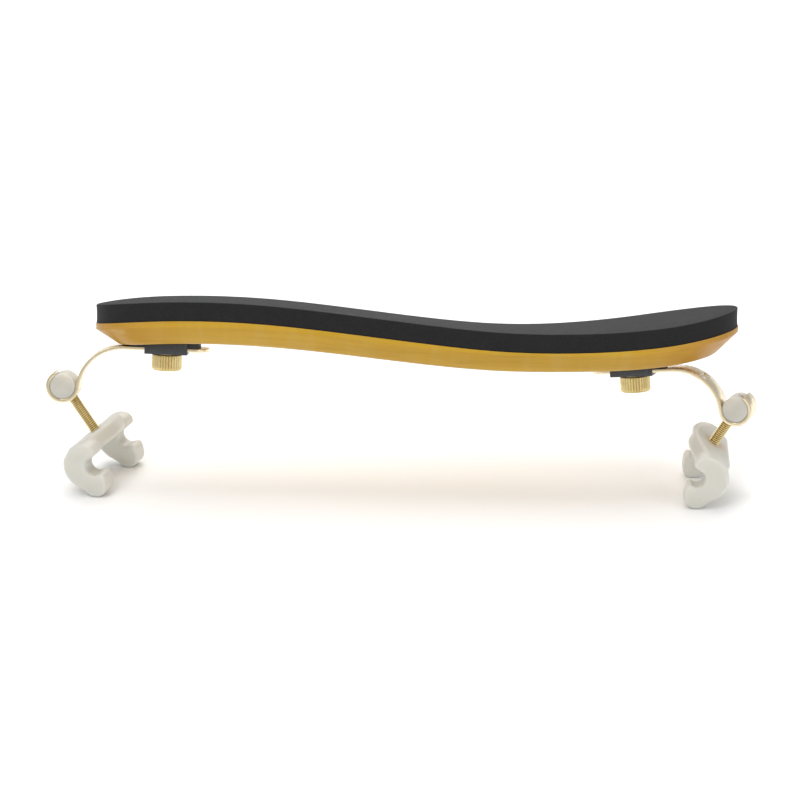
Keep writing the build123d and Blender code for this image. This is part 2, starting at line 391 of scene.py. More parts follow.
class Effects:
    """The shader groups that several finishes share. Each gives only masks, values or normals."""

    def __init__(self) -> None:
        """Build the groups."""
        self.edge_wear = self._edge_wear()
        self.grain = self._grain()
        self.dust = self._dust()

    @staticmethod
    def _edge_wear() -> bpy.types.NodeTree:
        """Mask that is bright on convex edges, broken up by noise."""
        graph, given, made = new_group(
            "edge_wear",
            {"Vector": ("NodeSocketVector", None), "Spread": ("NodeSocketFloat", 0.04)},
            {"Mask": "NodeSocketFloat"},
        )
        point = graph.add("NewGeometry").outputs["Pointiness"]
        high = graph.maths("ADD", given.outputs["Spread"], 0.51)
        raised = graph.add("MapRange", {"Value": point, "From Min": 0.51, "From Max": high}).outputs[0]
        patches = graph.add("TexNoise", {"Vector": given.outputs["Vector"], "Scale": 900.0, "Detail": 5.0})
        broken = graph.ramp(patches.outputs["Fac"], 0.38, 0.62, 0.35, 1.0)
        graph.tree.links.new(graph.maths("MULTIPLY", raised, broken), made.inputs["Mask"])
        return graph.tree

    @staticmethod
    def _grain() -> bpy.types.NodeTree:
        """Two sizes of noise joined as a height, and the bumped normal it gives."""
        graph, given, made = new_group(
            "fine_grain",
            {
                "Vector": ("NodeSocketVector", None),
                "Scale": ("NodeSocketFloat", 1000.0),
                "Height": ("NodeSocketFloat", 0.00005),
                "Strength": ("NodeSocketFloat", 0.5),
            },
            {"Value": "NodeSocketFloat", "Normal": "NodeSocketVector"},
        )
        inputs = {"Vector": given.outputs["Vector"], "Scale": given.outputs["Scale"], "Detail": 3.0}
        fine = graph.add("TexNoise", inputs).outputs["Fac"]
        wide = graph.maths("MULTIPLY", given.outputs["Scale"], 0.27)
        inputs = {"Vector": given.outputs["Vector"], "Scale": wide, "Detail": 2.0}
        coarse = graph.add("TexNoise", inputs).outputs["Fac"]
        value = graph.maths("ADD", graph.maths("MULTIPLY", fine, 0.65), graph.maths("MULTIPLY", coarse, 0.35))
        bump = graph.add(
            "Bump",
            {"Height": value, "Distance": given.outputs["Height"], "Strength": given.outputs["Strength"]},
        )
        graph.tree.links.new(value, made.inputs["Value"])
        graph.tree.links.new(bump.outputs[0], made.inputs["Normal"])
        return graph.tree

    @staticmethod
    def _dust() -> bpy.types.NodeTree:
        """Mask of light dust lying on faces that look up."""
        graph, given, made = new_group(
            "settled_dust",
            {"Vector": ("NodeSocketVector", None), "Amount": ("NodeSocketFloat", 0.2)},
            {"Mask": "NodeSocketFloat"},
        )
        normal = graph.add("NewGeometry").outputs["Normal"]
        up = graph.add("SeparateXYZ", {0: normal}).outputs["Z"]
        facing = graph.ramp(up, 0.35, 0.95)
        motes = graph.add("TexNoise", {"Vector": given.outputs["Vector"], "Scale": 2600.0, "Detail": 2.0})
        spots = graph.ramp(motes.outputs["Fac"], 0.6, 0.74)
        both = graph.maths("MULTIPLY", facing, spots)
        graph.tree.links.new(graph.maths("MULTIPLY", both, given.outputs["Amount"]), made.inputs["Mask"])
        return graph.tree

    def use(self, graph: Graph, tree: bpy.types.NodeTree, inputs: dict) -> bpy.types.Node:
        """Put one of the groups into a material.

        Args:
            graph: the material's graph.
            tree: the group's tree.
            inputs: socket name to a value or a socket.

        Returns:
            The group node.
        """
        node = graph.tree.nodes.new("ShaderNodeGroup")
        node.node_tree = tree
        for key, value in inputs.items():
            if isinstance(value, bpy.types.NodeSocket):
                graph.tree.links.new(value, node.inputs[key])
            else:
                node.inputs[key].default_value = value
        return node


@dataclass(frozen=True)
class Finish:
    """What every finish has: a name and a way to become a material."""

    name: str

    def start(self) -> tuple[bpy.types.Material, Graph, bpy.types.Node, bpy.types.NodeSocket]:
        """A material with its Principled node and its object coordinates.

        Returns:
            The material, its graph, the Principled node and the coordinates' socket.
        """
        material = bpy.data.materials.new(self.name)
        material.use_nodes = True
        graph = Graph(material.node_tree)
        shader = material.node_tree.nodes["Principled BSDF"]
        coordinates = graph.add("TexCoord").outputs["Object"]
        return material, graph, shader, coordinates


@dataclass(frozen=True)
class VarnishedMaple(Finish):
    """Amber varnish on maple: long growth lines, faint cross flame, darker ends, thin clear coat, and pale
    convex edges that are partly wear and partly a painted highlight.
    """

    name: str = "varnished_maple"
    amber: tuple = (0.54, 0.315, 0.020, 1.0)
    line: tuple = (0.39, 0.210, 0.012, 1.0)
    ends: tuple = (0.42, 0.185, 0.022, 1.0)
    # Pale colour of the flame figure and of the painted highlight on convex edges.
    flame_and_edge_highlight: tuple = (0.62, 0.46, 0.18, 1.0)

    def build(self, effects: Effects) -> bpy.types.Material:
        """Make the material.

        Args:
            effects: the shared shader groups.

        Returns:
            The material.
        """
        material, graph, shader, raw = self.start()
        back = STANCE.rotation().inverted().to_euler()
        level = graph.scaled(raw, (1, 1, 1), tuple(back))
        along = graph.scaled(level, (18.0, 520.0, 520.0))
        lines = graph.add("TexNoise", {"Vector": along, "Scale": 1.0, "Detail": 6.0, "Distortion": 0.6})
        wide = graph.scaled(level, (7.0, 90.0, 90.0))
        bands = graph.add("TexNoise", {"Vector": wide, "Scale": 1.0, "Detail": 3.0, "Distortion": 1.2})
        across = graph.scaled(level, (150.0, 22.0, 22.0))
        flame = graph.add("TexNoise", {"Vector": across, "Scale": 1.0, "Detail": 2.0, "Distortion": 0.8})
        soft = graph.ramp(bands.outputs["Fac"], 0.35, 0.68)
        colour = graph.mix(graph.maths("MULTIPLY", soft, 0.38), self.amber, self.line)
        fine = graph.ramp(lines.outputs["Fac"], 0.48, 0.72)
        colour = graph.mix(graph.maths("MULTIPLY", fine, 0.42), colour, self.line)
        glow = graph.ramp(flame.outputs["Fac"], 0.42, 0.66)
        colour = graph.mix(graph.maths("MULTIPLY", glow, 0.09), colour, self.flame_and_edge_highlight)
        x = graph.add("SeparateXYZ", {0: level}).outputs["X"]
        reach = graph.ramp(graph.maths("ABSOLUTE", x), 0.070, 0.118)
        colour = graph.mix(graph.maths("MULTIPLY", reach, 0.75), colour, self.ends)
        # Partly wear, partly painted highlight: convex edges, the rounded top edge among them, are lightened
        # toward the pale colour.
        worn = effects.use(graph, effects.edge_wear, {"Vector": level, "Spread": 0.06})
        colour = graph.mix(graph.maths("MULTIPLY", worn.outputs[0], 0.35), colour, self.flame_and_edge_highlight)
        skin = effects.use(
            graph, effects.grain, {"Vector": along, "Scale": 1.0, "Height": 0.00003, "Strength": 0.35}
        )
        links = graph.tree.links
        links.new(colour, shader.inputs["Base Color"])
        links.new(skin.outputs["Normal"], shader.inputs["Normal"])
        links.new(graph.ramp(lines.outputs["Fac"], 0.3, 0.8, 0.34, 0.5), shader.inputs["Roughness"])
        shader.inputs["Coat Weight"].default_value = 0.10
        shader.inputs["Coat Roughness"].default_value = 0.16
        shader.inputs["Specular IOR Level"].default_value = 0.22
        return material


@dataclass(frozen=True)
class ClosedCellFoam(Finish):
    """Charcoal closed-cell foam: tiny cells, a slightly shiny moulded top, a matt cut side."""

    name: str = "closed_cell_foam"
    dark: tuple = (0.009, 0.009, 0.010, 1.0)
    light: tuple = (0.024, 0.024, 0.025, 1.0)
    cells_per_metre: float = 2300.0

    def build(self, effects: Effects) -> bpy.types.Material:
        """Make the material.

        Args:
            effects: the shared shader groups.

        Returns:
            The material.
        """
        material, graph, shader, raw = self.start()
        cell = graph.add("TexVoronoi", {"Vector": raw, "Scale": self.cells_per_metre})
        grain = effects.use(
            graph, effects.grain, {"Vector": raw, "Scale": 1500.0, "Height": 0.00022, "Strength": 0.8}
        )
        speck = graph.ramp(cell.outputs["Distance"], 0.12, 0.55)
        cloud = graph.add("TexNoise", {"Vector": raw, "Scale": 130.0, "Detail": 4.0}).outputs["Fac"]
        tone = graph.maths("ADD", graph.maths("MULTIPLY", speck, 0.45), graph.maths("MULTIPLY", cloud, 0.4))
        colour = graph.mix(tone, self.dark, self.light)
        dust = effects.use(graph, effects.dust, {"Vector": raw, "Amount": 0.10})
        colour = graph.mix(dust.outputs[0], colour, (0.20, 0.20, 0.19, 1.0))
        pits = graph.add(
            "Bump", {"Height": speck, "Distance": 0.00012, "Strength": 0.7, "Normal": grain.outputs["Normal"]}
        )
        graph.tree.links.new(colour, shader.inputs["Base Color"])
        graph.tree.links.new(pits.outputs[0], shader.inputs["Normal"])
        shader.inputs["Roughness"].default_value = 0.86
        shader.inputs["Specular IOR Level"].default_value = 0.16
        shader.inputs["Sheen Weight"].default_value = 0.08
        shader.inputs["Sheen Roughness"].default_value = 0.45
        return material


@dataclass(frozen=True)
class Brass(Finish):
    """Brass with drawn scratches, soft tarnish and brighter worn edges.

    Attributes:
        body: the clean colour.
        tarnish: the colour in the tarnish.
        rough: roughness of the clean metal.
        stretch: scale of the scratches on the three axes.
        tarnish_share: how much of the surface the tarnish can take.
        thread: the thread's axis point, its direction, and its root and crest radii, in metres, which place
            the painted shade in the thread's roots.
    """

    name: str = "brass"
    body: tuple = (0.86, 0.71, 0.42, 1.0)
    tarnish: tuple = (0.50, 0.34, 0.13, 1.0)
    rough: float = 0.22
    stretch: tuple = (300.0, 3000.0, 300.0)
    tarnish_share: float = 0.35
    thread: tuple | None = None

    def thread_root_shade(self, graph: Graph, raw: bpy.types.NodeSocket) -> bpy.types.NodeSocket:
        """Mask of painted shade in the thread's roots: one at the root radius, nothing at the crest.

        The distance from the axis is |(p - origin) x direction|.

        Args:
            graph: the material's graph.
            raw: the surface point.

        Returns:
            The mask.
        """
        origin, along, root, crest = self.thread
        away = graph.add("VectorMath", {0: raw, 1: origin}, operation="SUBTRACT").outputs[0]
        side = graph.add("VectorMath", {0: away, 1: along}, operation="CROSS_PRODUCT").outputs[0]
        gap = graph.add("VectorMath", {0: side}, operation="LENGTH").outputs["Value"]
        return graph.ramp(gap, root, crest, 1.0, 0.0)

    def build(self, effects: Effects) -> bpy.types.Material:
        """Make the material.

        Args:
            effects: the shared shader groups.

        Returns:
            The material.
        """
        material, graph, shader, raw = self.start()
        cloud = graph.add("TexNoise", {"Vector": raw, "Scale": 260.0, "Detail": 5.0}).outputs["Fac"]
        dull = graph.ramp(cloud, 0.45, 0.75)
        colour = graph.mix(graph.maths("MULTIPLY", dull, self.tarnish_share), self.body, self.tarnish)
        worn = effects.use(graph, effects.edge_wear, {"Vector": raw, "Spread": 0.05})
        bright = (min(1.0, self.body[0] * 1.1), self.body[1] * 1.1, self.body[2] * 1.2, 1.0)
        colour = graph.mix(graph.maths("MULTIPLY", worn.outputs[0], 0.5), colour, bright)
        if self.thread:
            # Painted shade: the thread's roots are darkened toward near-black brown, as if shaded.
            root_shade = self.thread_root_shade(graph, raw)
            colour = graph.mix(graph.maths("MULTIPLY", root_shade, 0.8), colour, (0.09, 0.055, 0.02, 1.0))
        drawn = graph.scaled(raw, self.stretch)
        marks = effects.use(
            graph, effects.grain, {"Vector": drawn, "Scale": 1.0, "Height": 0.000012, "Strength": 0.35}
        )
        links = graph.tree.links
        links.new(colour, shader.inputs["Base Color"])
        links.new(marks.outputs["Normal"], shader.inputs["Normal"])
        rough = graph.ramp(cloud, 0.35, 0.8, self.rough, self.rough + 0.16)
        links.new(rough, shader.inputs["Roughness"])
        shader.inputs["Metallic"].default_value = 1.0
        return material


@dataclass(frozen=True)
class MilkyPlastic(Finish):
    """Milky translucent moulding: light spreads inside it, and a painted warm glow of the brass inside is
    laid round a point on the brass.

    Attributes:
        body: the plastic's colour.
        painted_brass_glow: the colour of the painted glow of the brass seen through the plastic.
        painted_glow_at: the centre of the painted glow, a point on the brass, in the row frame.
        painted_glow_reach: how far the painted glow reaches, in metres.
    """

    name: str = "milky_plastic"
    body: tuple = (0.74, 0.73, 0.67, 1.0)
    painted_brass_glow: tuple = (0.68, 0.53, 0.30, 1.0)
    painted_glow_at: tuple = (0.0, 0.0, 0.0)
    painted_glow_reach: float = 0.006

    def build(self, effects: Effects) -> bpy.types.Material:
        """Make the material.

        Args:
            effects: the shared shader groups.

        Returns:
            The material.
        """
        material, graph, shader, raw = self.start()
        gap = graph.add("VectorMath", {0: raw, 1: self.painted_glow_at}, operation="DISTANCE").outputs["Value"]
        painted_glow_share = graph.ramp(gap, self.painted_glow_reach * 0.25, self.painted_glow_reach, 1.0, 0.0)
        flow = graph.add("TexNoise", {"Vector": raw, "Scale": 160.0, "Detail": 3.0, "Distortion": 1.0})
        swirl = graph.ramp(flow.outputs["Fac"], 0.35, 0.7)
        colour = graph.mix(graph.maths("MULTIPLY", swirl, 0.3), self.body, (0.80, 0.80, 0.77, 1.0))
        # Painted glow: the colour is warmed toward the brass's tint round a point on the brass, standing for
        # the brass seen through the plastic.
        colour = graph.mix(graph.maths("MULTIPLY", painted_glow_share, 0.75), colour, self.painted_brass_glow)
        skin = effects.use(
            graph, effects.grain, {"Vector": raw, "Scale": 420.0, "Height": 0.00006, "Strength": 0.3}
        )
        links = graph.tree.links
        links.new(colour, shader.inputs["Base Color"])
        links.new(skin.outputs["Normal"], shader.inputs["Normal"])
        shader.inputs["Roughness"].default_value = 0.34
        shader.inputs["IOR"].default_value = 1.47
        shader.inputs["Transmission Weight"].default_value = 0.22
        shader.inputs["Subsurface Weight"].default_value = 0.85
        shader.inputs["Subsurface Radius"].default_value = (1.0, 0.9, 0.72)
        shader.inputs["Subsurface Scale"].default_value = 0.004
        return material


@dataclass(frozen=True)
class BlackMoulding(Finish):
    """Near-black moulded plastic or rubber with a fine matt skin."""

    name: str = "black_moulding"
    body: tuple = (0.028, 0.031, 0.035, 1.0)
    rough: float = 0.5

    def build(self, effects: Effects) -> bpy.types.Material:
        """Make the material.

        Args:
            effects: the shared shader groups.

        Returns:
            The material.
        """
        material, graph, shader, raw = self.start()
        skin = effects.use(
            graph, effects.grain, {"Vector": raw, "Scale": 1900.0, "Height": 0.00004, "Strength": 0.5}
        )
        worn = effects.use(graph, effects.edge_wear, {"Vector": raw, "Spread": 0.06})
        pale = tuple(min(1.0, c * 2.4) for c in self.body[:3]) + (1.0,)
        colour = graph.mix(graph.maths("MULTIPLY", worn.outputs[0], 0.5), self.body, pale)
        dust = effects.use(graph, effects.dust, {"Vector": raw, "Amount": 0.15})
        colour = graph.mix(dust.outputs[0], colour, (0.2, 0.2, 0.19, 1.0))
        graph.tree.links.new(colour, shader.inputs["Base Color"])
        graph.tree.links.new(skin.outputs["Normal"], shader.inputs["Normal"])
        shader.inputs["Roughness"].default_value = self.rough
        return material


# ---- Parts of the rest -----------------------------------------------------------------------------------


def dress_node(
    node: str, material: bpy.types.Material, bevel_mm: float = 0.0, crease_deg: float = 30.0
) -> None:
    """Give a fixed CAD piece its finish, smooth shading and softened edges. Its own points stay.

    Args:
        node: the CAD node's name.
        material: its finish.
        bevel_mm: width of the softened edges, or 0 for none.
        crease_deg: edges sharper than this are softened or stay sharp.
    """
    piece = frame["nodes"][node]
    mesh = piece.data
    if "custom_normal" in mesh.attributes:
        mesh.attributes.remove(mesh.attributes["custom_normal"])
    mesh.materials.clear()
    mesh.materials.append(material)
    weld = piece.modifiers.new("weld", "WELD")
    weld.merge_threshold = 1e-6
    if bevel_mm > 0:
        bevel = piece.modifiers.new("soft_edges", "BEVEL")
        bevel.width = bevel_mm * MM
        bevel.segments = 3
        bevel.limit_method = "ANGLE"
        bevel.angle_limit = math.radians(crease_deg)
        bevel.harden_normals = False
    smooth(mesh, 180.0 if bevel_mm > 0 else crease_deg)
    LOG.info("%s: dressed, edges %.2f mm", node, bevel_mm)


def show_as(
    piece: bpy.types.Object, body: str, slot: Slot, material: bpy.types.Material, *nodes: str
) -> None:
    """Finish a built piece and hang it on its CAD body.

    Args:
        piece: the built object.
        body: the CAD body it rides on.
        slot: the record's slot for its finish; not used.
        material: its finish.
        *nodes: the CAD nodes it stands for.
    """
    piece.data.materials.append(material)
    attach(piece, body)
    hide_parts(*nodes)


@dataclass(frozen=True)
class BarShape:
    """The bar's plan outline and the height of its top, in millimetres and degrees.

    Attributes:
        stations: position along the bar, height of the wood's top at mid depth, and twist.
        left_centre: position of the left end's round centre.
        right_centre: position of the right end's half-ellipse centre.
        left_radius: half depth at the left.
        right_radius: half depth at the right.
        right_length: length of the right end's half-ellipse.
        edge_depth: depth of the two edge profiles that the twist is taken from.
    """

    stations: tuple = (
        (-120.0, 27.4, -2.4),
        (-100.0, 29.4, -2.4),
        (-80.0, 29.9, -2.4),
        (-55.0, 28.8, -2.4),
        (-25.0, 25.5, -2.5),
        (5.0, 21.7, -2.5),
        (30.0, 19.4, -2.0),
        (52.0, 19.2, -1.1),
        (75.0, 20.7, 0.2),
        (97.0, 23.7, 0.8),
        (120.0, 28.4, 0.8),
    )
    left_centre: float = -93.5
    right_centre: float = 83.0
    left_radius: float = 21.5
    right_radius: float = 24.0
    right_length: float = 32.0
    edge_depth: float = 26.0

    def outline(self, setback: float) -> tuple[np.ndarray, np.ndarray]:
        """The plan outline and the point of the middle line that each outline point faces.

        The left end is a half circle and the right end half an ellipse. Between them the half depth
        goes from one to the other as s*s*(3 - 2s), s running from 0 to 1 along the side.

        Args:
            setback: how far inside the wood's outline to go.

        Returns:
            (n, 2) outline points and (n, 2) middle points, counter-clockwise.
        """
        left, right = self.left_radius - setback, self.right_radius - setback
        turn = np.linspace(math.pi / 2, 3 * math.pi / 2, 180, endpoint=False)
        round_end = np.stack([self.left_centre + left * np.cos(turn), left * np.sin(turn)], axis=1)
        s = np.linspace(0.0, 1.0, 340, endpoint=False)
        x = self.left_centre + (self.right_centre - self.left_centre) * s
        half = left + (right - left) * s * s * (3 - 2 * s)
        front = np.stack([x, -half], axis=1)
        turn = np.linspace(-math.pi / 2, math.pi / 2, 220, endpoint=False)
        length = self.right_length - setback
        far_end = np.stack([self.right_centre + length * np.cos(turn), right * np.sin(turn)], axis=1)
        x = self.right_centre - (self.right_centre - self.left_centre) * s
        t = 1 - s
        half = left + (right - left) * t * t * (3 - 2 * t)
        rear = np.stack([x, half], axis=1)
        edge = np.vstack([round_end, front, far_end, rear])
        middle = np.stack(
            [np.clip(edge[:, 0], self.left_centre, self.right_centre), np.zeros(len(edge))], axis=1
        )
        return edge, middle

    def top(self, points: np.ndarray) -> np.ndarray:
        """Height of the wood's top: two edge splines joined by straight lines across the depth.

        Args:
            points: (n, 2) plan points.

        Returns:
            (n,) heights.
        """
        data = np.array(self.stations)
        lift = self.edge_depth * np.tan(np.radians(data[:, 2]))
        front = Spline(data[:, 0], data[:, 1] - lift)(points[:, 0])
        rear = Spline(data[:, 0], data[:, 1] + lift)(points[:, 0])
        share = (points[:, 1] + self.edge_depth) / (2 * self.edge_depth)
        return front * (1 - share) + rear * share


class Spline:
    """A cubic spline through stations, its end slopes taken from a cubic through the end four."""

    def __init__(self, x: np.ndarray, y: np.ndarray) -> None:
        """Solve for the slope at each station.

        Args:
            x: positions of the stations, increasing.
            y: values there.
        """
        self.x, self.y = x, y
        n = len(x)
        h, rise = np.diff(x), np.diff(y)
        rows, right = np.zeros((n, n)), np.zeros(n)
        rows[0, 0] = rows[-1, -1] = 1.0
        right[0] = np.polyval(np.polyder(np.polyfit(x[:4] - x[0], y[:4], 3)), 0.0)
        right[-1] = np.polyval(np.polyder(np.polyfit(x[-4:] - x[-1], y[-4:], 3)), 0.0)
        k = np.arange(1, n - 1)
        rows[k, k - 1] = 1 / h[:-1]
        rows[k, k] = 2 / h[:-1] + 2 / h[1:]
        rows[k, k + 1] = 1 / h[1:]
        right[1:-1] = 3 * (rise[:-1] / h[:-1] ** 2 + rise[1:] / h[1:] ** 2)
        self.slope = np.linalg.solve(rows, right)

    def __call__(self, at: np.ndarray) -> np.ndarray:
        """Values of the spline, each piece a cubic Hermite curve.

        Args:
            at: positions.

        Returns:
            Values there.
        """
        i = np.clip(np.searchsorted(self.x, at) - 1, 0, len(self.x) - 2)
        h = self.x[i + 1] - self.x[i]
        t = (at - self.x[i]) / h
        start = (1 + 2 * t) * (1 - t) ** 2 * self.y[i] + t * (1 - t) ** 2 * h * self.slope[i]
        return start + t * t * (3 - 2 * t) * self.y[i + 1] + t * t * (t - 1) * h * self.slope[i + 1]


@dataclass
class Bar:
    """The maple bar: the CAD solid, varnished, with its edges eased."""

    maple: bpy.types.Material
    metal: bpy.types.Material
    edge_mm: float = 0.45

    def dress(self) -> None:
        """Finish the bar and the inserts in it."""
        dress_node("wood_body", self.maple, self.edge_mm)
        for end in End:
            dress_node(end.name_of("threaded_insert"), self.metal)


@dataclass
class FoamPad:
    """The foam pad: cut square at its sides, its top edge crisp, its top faintly cushioned.

    Attributes:
        shape: the bar it lies on.
        thickness: its thickness, in millimetres like every size here.
        setback: how far it stands inside the wood's outline.
        crown: how much higher its middle is than its edge.
        lip: radius of the top edge.
        foot: radius of the bottom edge.
        waist: how far the cut side draws in at mid height.
    """

    material: bpy.types.Material
    shape: BarShape = field(default_factory=BarShape)
    thickness: float = 6.8
    setback: float = 0.3
    crown: float = 0.12
    lip: float = 0.35
    foot: float = 0.2
    waist: float = 0.12

    def section(self) -> tuple[np.ndarray, np.ndarray, np.ndarray]:
        """The pad's section from the top's middle, over the edge and back to the bottom's middle.

        Returns:
            Share of the way out from the middle, distance in from the edge, and height above the wood.
        """
        out = np.linspace(0.0, 1.0, 14)[:-1]
        top = [(s, 0.0, self.thickness - self.crown * s * s) for s in out * 0.985]
        high = self.thickness - self.crown
        turn = np.linspace(0.0, math.pi / 2, 6)
        lip = [(1.0, self.lip * (1 - math.sin(a)), high - self.lip * (1 - math.cos(a))) for a in turn]
        level = np.linspace(high - self.lip, self.foot, 11)[1:-1]
        side = [(1.0, self.waist * math.sin(math.pi * z / high), z) for z in level]
        foot = [(1.0, self.foot * (1 - math.cos(a)), self.foot * (1 - math.sin(a))) for a in turn]
        under = [(s, 0.0, 0.0) for s in (out * 0.99)[::-3]] + [(0.0, 0.0, 0.0)]
        rows = np.array(top + lip + side + foot + under)
        return rows[:, 0], rows[:, 1], rows[:, 2]

    def build(self) -> bpy.types.Object:
        """Build the pad as rings that follow its outline.

        Returns:
            The finished pad, riding on the bar.
        """
        edge, middle = self.shape.outline(self.setback)
        arm = edge - middle
        reach = np.linalg.norm(arm, axis=1)
        share, inset, height = self.section()
        scale = share[:, None] - inset[:, None] / reach[None, :]
        plan = middle[None] + scale[..., None] * arm[None]
        flat = plan.reshape(-1, 2)
        z = self.shape.top(flat) + np.repeat(height, len(edge))
        points = STANCE.carry(np.column_stack([flat, z]) * MM)
        pad = Skin(points, ring_faces(len(share), len(edge))).build("foam_cushion", 40.0)
        show_as(pad, "bar", Slot.FOAM, self.material, "foam_pad")
        return pad


@dataclass
class ThumbKnob:
    """A turned brass knob, its side cut with straight flutes, its rim rounded.

    Attributes:
        start: distance of its upper face below the strap's top, in millimetres like every size here.
        height: its height.
        radius: its radius.
        rim: radius of the lower rim.
        flutes: number of flutes.
        depth: depth of the flutes.
    """

    end: End
    material: bpy.types.Material
    start: float = 2.80
    height: float = 5.7
    radius: float = 5.4
    rim: float = 1.1
    flutes: int = 32
    depth: float = 0.34

    def profile(self) -> tuple[np.ndarray, np.ndarray, np.ndarray]:
        """Outline from the upper face to the lower face.

        Returns:
            Radii, heights, and the share of the flutes' depth at each.
        """
        turn = np.linspace(0.0, math.pi / 2, 8)
        ease = 0.3
        rows = [(self.radius * k, 0.0, 0.0) for k in (0.45, 0.8)]
        rows += [
            (self.radius - ease * (1 - math.sin(a)), ease * (1 - math.cos(a)), 0.4 + 0.6 * math.sin(a))
            for a in turn
        ]
        rows += [(self.radius, z, 1.0) for z in np.linspace(ease, self.height - self.rim, 12)[1:-1]]
        rows += [
            (
                self.radius - self.rim * (1 - math.cos(a)),
                self.height - self.rim * (1 - math.sin(a)),
                math.cos(a) ** 0.5 if a < 1.57 else 0.0,
            )
            for a in turn
        ]
        rows += [(self.radius * k, self.height - 0.05 * (k < 0.7), 0.0) for k in (0.72, 0.66, 0.3)]
        data = np.array(rows)
        return data[:, 0] * MM, (self.start + data[:, 1]) * MM, data[:, 2]

    def build(self) -> bpy.types.Object:
        """Build the knob: radius less depth * cos(n a / 2) ** 6, which cuts narrow flutes.

        Returns:
            The finished knob, riding on the clamp.
        """
        radii, heights, share = self.profile()
        angle = np.arange(self.flutes * 12) / (self.flutes * 12) * TAU
        cut = np.cos(self.flutes * angle / 2) ** 6
        grid = radii[:, None] - share[:, None] * self.depth * MM * cut[None, :]
        axis = joint_axis(self.end.name_of("knob_turn"))
        knob = lathe(grid, heights, axis).build(self.end.name_of("fluted_knob"), 50.0)
        body, node = self.end.name_of("clamp_knob"), self.end.name_of("thumb_knob")
        show_as(knob, body, Slot.KNOB, self.material, node)
        return knob


@dataclass
class ThreadedRod:
    """A rod with a right-hand metric thread and eased ends.

    Attributes:
        radius: its outer radius, in millimetres like every size here.
        low: height of its lower end.
        high: height of its upper end.
        pitch: rise of the thread in one turn.
        depth: depth of the thread.
    """

    radius: float
    low: float
    high: float
    pitch: float = 0.7
    depth: float = 0.40

    def skin(self, axis: Axis) -> Skin:
        """The rod's surface.

        The thread's depth follows a flattened triangle wave of z / pitch - a / 2 pi, so its crest
        climbs one pitch for each turn. Both ends are coned at 45 degrees.

        Args:
            axis: where the rod stands.

        Returns:
            The closed surface.
        """
        rows = int((self.high - self.low) / self.pitch * 12)
        z = np.linspace(self.low, self.high, rows)
        angle = np.arange(72) / 72
        phase = np.mod(z[:, None] / self.pitch - angle[None, :], 1.0)
        wave = np.clip(np.abs(2 * phase - 1) * 1.35 - 0.18, 0.0, 1.0)
        radii = self.radius - self.depth * wave
        cone = self.radius - 0.5 + np.minimum(z - self.low, self.high - z)[:, None]
        return lathe(np.minimum(radii, cone) * MM, z * MM, axis)


@dataclass
class Bracket:
    """Everything at one end of the bar: clamp, strap, barrel, stud and foot."""

    end: End
    finishes: dict[Slot, bpy.types.Material]

    def build(self) -> None:
        """Build the turned and threaded pieces."""
        ThumbKnob(self.end, self.finishes[Slot.KNOB]).build()
        down = joint_axis(self.end.name_of("knob_turn"))
        screw = ThreadedRod(1.98, -7.4, 6.75).skin(down).build(self.end.name_of("threaded_clamp_screw"), 60.0)
        body, node = self.end.name_of("clamp_knob"), self.end.name_of("clamp_screw")
        show_as(screw, body, Slot.KNOB, self.finishes[Slot.KNOB], node)
        up = joint_axis(self.end.name_of("foot_turn"))
        rod = ThreadedRod(1.95, -4.6, 19.2).skin(up).build(self.end.name_of("threaded_height_stud"), 60.0)
        body, node = self.end.name_of("height_stud"), self.end.name_of("stud")
        show_as(rod, body, Slot.STUD, self.finishes[Slot.STUD], node)

    def dress(self) -> None:
        """Finish the pieces that keep their CAD solids."""
        dress_node(self.end.name_of("strap"), self.finishes[Slot.STRAP], 0.14)
        dress_node(self.end.name_of("liner"), self.finishes[Slot.LINER], 0.15)
        dress_node(self.end.name_of("guide_block"), self.finishes[Slot.GUIDE_BLOCK], 0.22)
        dress_node(self.end.name_of("washer"), self.finishes[Slot.KNOB], 0.08)
        dress_node(self.end.name_of("barrel"), self.finishes[Slot.BARREL], 0.12)
        self.mould_foot()

    def mould_foot(self) -> None:
        """Finish the foot, its joints between plate and claws melted together as in a moulding."""
        node = self.end.name_of("foot")
        dress_node(node, self.finishes[Slot.FOOT])
        piece = frame["nodes"][node]
        remesh = piece.modifiers.new("one_moulding", "REMESH")
        remesh.mode = "VOXEL"
        remesh.voxel_size = 0.3 * MM
        remesh.use_smooth_shade = True
        melt = piece.modifiers.new("melted_joints", "SMOOTH")
        melt.factor = 0.5
        melt.iterations = 10


# ---- Studio ----------------------------------------------------------------------------------------------


@dataclass(frozen=True)
class Softbox:
    """An area light: where it is, what it looks at, how wide and how strong."""

    name: str
    place: tuple[float, float, float]
    target: tuple[float, float, float]
    width: float
    watts: float

    def build(self) -> bpy.types.Object:
        """Make the light.

        Returns:
            The light object.
        """
        data = bpy.data.lights.new(self.name, "AREA")
        data.shape, data.size, data.energy = "SQUARE", self.width, self.watts
        light = bpy.data.objects.new(self.name, data)
        light.location = self.place
        light.rotation_euler = (Vector(self.target) - Vector(self.place)).to_track_quat("-Z", "Y").to_euler()
        bpy.context.scene.collection.objects.link(light)
        return light


